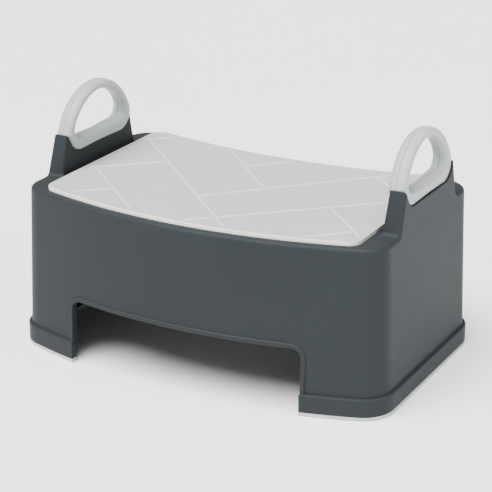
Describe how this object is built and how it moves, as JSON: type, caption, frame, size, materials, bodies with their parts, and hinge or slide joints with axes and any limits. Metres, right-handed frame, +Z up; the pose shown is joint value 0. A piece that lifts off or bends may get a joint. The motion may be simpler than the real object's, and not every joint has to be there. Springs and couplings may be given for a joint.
{
  "type": "step stool",
  "caption": "Low plastic step stool, crescent-shaped in plan, with arched leg cut-outs, a soft grooved tread mat and a D-shaped carrying handle standing up at each end",
  "frame": {"origin": "centre of the bounding box at floor level: the middle of the stool on the floor", "axes": "+Z up; +X along the length towards the right-hand handle; -Y towards the front, the side whose wall bulges outwards; +Y towards the back, whose wall is hollow"},
  "size_m": [0.5, 0.333, 0.3106],
  "materials": {
    "body": "fine matte moulded texture, dark blue-grey",
    "mat": "soft matte light grey with fine grain",
    "grip": "satin light grey",
    "foot": "soft matte light grey"
  },
  "bodies": {
    "root": {"body_shell": "body", "tread_mat": "mat", "right_grip_outer": "grip", "right_grip_inner": "grip", "left_grip_outer": "grip", "left_grip_inner": "grip", "right_foot_strip": "foot", "left_foot_strip": "foot"}
  },
  "joints": []
}
